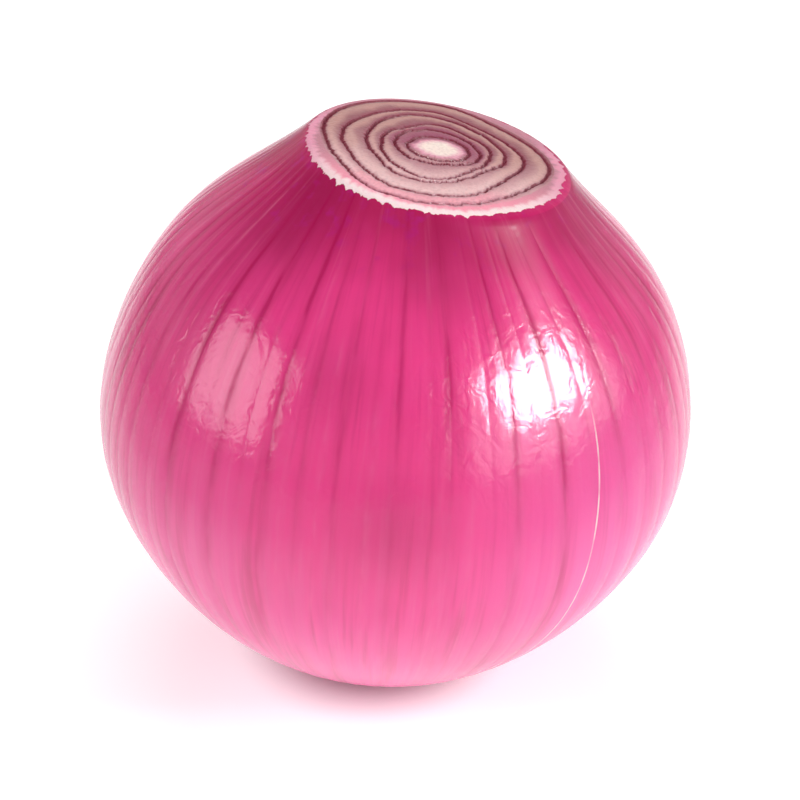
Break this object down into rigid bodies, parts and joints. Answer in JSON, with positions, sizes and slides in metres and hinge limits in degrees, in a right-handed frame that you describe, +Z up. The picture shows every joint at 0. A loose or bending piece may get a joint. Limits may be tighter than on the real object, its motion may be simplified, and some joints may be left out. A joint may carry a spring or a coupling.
{
  "type": "onion",
  "caption": "Peeled magenta onion bulb, nearly round, with a slanted cut at the neck showing its rings and a small flat spot to rest on.",
  "frame": {"origin": "on the ground, under the middle of the bulb, at the flat spot that it rests on", "axes": "+Z up through the cut neck, -Y the front, +X the side that the cut slopes down to"},
  "size_m": [0.0764, 0.0762, 0.0732],
  "materials": {
    "skin": "glossy moist epidermis in magenta, darker along its veins, with pale cream and pink flesh at the cut"
  },
  "bodies": {
    "root": {"bulb": "skin"}
  },
  "joints": []
}
